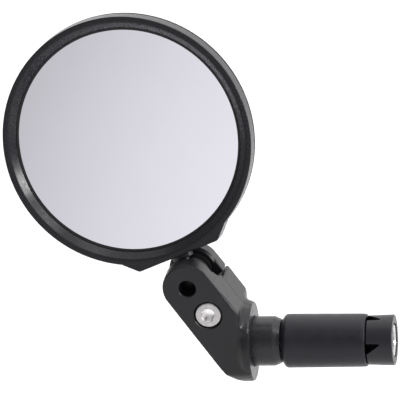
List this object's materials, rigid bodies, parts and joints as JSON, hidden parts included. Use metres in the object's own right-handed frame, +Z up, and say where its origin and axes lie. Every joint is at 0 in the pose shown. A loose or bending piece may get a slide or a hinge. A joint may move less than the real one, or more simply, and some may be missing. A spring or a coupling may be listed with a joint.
{
  "type": "bar-end bicycle mirror",
  "caption": "Round rear-view mirror on a ball joint, clamped in an oblique elbow with a rubber expanding plug that fixes it in a handlebar end.",
  "frame": {"origin": "centre of the elbow's flange face, on the plug's axis, where the handlebar's end meets the mirror", "axes": "+X along the plug into the handlebar, +Z up, -Y the side that the glass faces"},
  "size_m": [0.1234, 0.0336, 0.1208],
  "materials": {
    "dark_plastic": "fine satin",
    "black_rubber": "matt",
    "black_steel": "satin black",
    "dark_metal": "blackened",
    "bright_steel": "zinc plated",
    "brass": "turned",
    "nylon": "satin",
    "silvered_glass": "polished",
    "foam": "matt foam"
  },
  "bodies": {
    "plug": {"plug_collar": "black_steel", "friction_washer": "nylon", "expander_sleeve": "black_rubber"},
    "bolt": {"expander_bolt": "bright_steel"},
    "wedge": {"expander_wedge": "dark_plastic", "wedge_nut": "bright_steel"},
    "elbow": {"elbow_front_half": "dark_plastic", "elbow_rear_half": "dark_plastic", "half_screw_upper": "black_steel", "half_screw_lower": "black_steel", "dowel_upper": "bright_steel", "dowel_lower": "bright_steel"},
    "clamp_screw": {"clamp_screw": "bright_steel"},
    "jaw": {"rear_jaw": "dark_plastic", "clamp_insert": "brass"},
    "seats": {"front_seat": "nylon", "rear_seat": "nylon"},
    "ball": {"stud_ball": "dark_metal"},
    "head": {"mirror_stem": "black_steel", "tab_screw_lower": "bright_steel", "tab_screw_upper": "bright_steel", "front_frame": "dark_plastic", "glass_gasket": "black_rubber", "mirror_glass": "silvered_glass", "foam_pad": "foam", "back_cover": "dark_plastic"}
  },
  "joints": [
    {"name": "elbow_swivel", "type": "hinge", "parent": "plug", "child": "elbow", "pos_m": [0, 0, 0], "axis": [1, 0, 0], "continuous": true},
    {"name": "bolt_turn", "type": "hinge", "parent": "plug", "child": "bolt", "pos_m": [0, 0, 0], "axis": [1, 0, 0], "range_deg": [0, 1440]},
    {"name": "wedge_slide", "type": "slide", "parent": "plug", "child": "wedge", "axis": [-1, 0, 0], "range_m": [0, 0.004], "deforming": ["expander_sleeve"]},
    {"name": "clamp_screw_turn", "type": "hinge", "parent": "elbow", "child": "clamp_screw", "pos_m": [-0.01269, 0, 0.01363], "axis": [0, -1, 0], "range_deg": [0, 225]},
    {"name": "jaw_slide", "type": "slide", "parent": "elbow", "child": "jaw", "axis": [0, 1, 0], "range_m": [0, 0.0005]},
    {"name": "mirror_swing", "type": "hinge", "parent": "elbow", "child": "seats", "pos_m": [-0.0188, 0, 0.0229], "axis": [0, 1, 0], "range_deg": [-90, 60]},
    {"name": "mirror_lean", "type": "hinge", "parent": "seats", "child": "ball", "pos_m": [-0.0188, 0, 0.0229], "axis": [0.9245, 0, 0.3811], "range_deg": [-1, 8]},
    {"name": "mirror_spin", "type": "hinge", "parent": "ball", "child": "head", "pos_m": [-0.0188, 0, 0.0229], "axis": [-0.3751, 0.1771, 0.9099], "range_deg": [-15, 15]}
  ],
  "couplings": [
    {"joint": "bolt_turn", "follows": "wedge_slide", "rad_per_m": 6283.2},
    {"joint": "clamp_screw_turn", "follows": "jaw_slide", "rad_per_m": 7854}
  ]
}
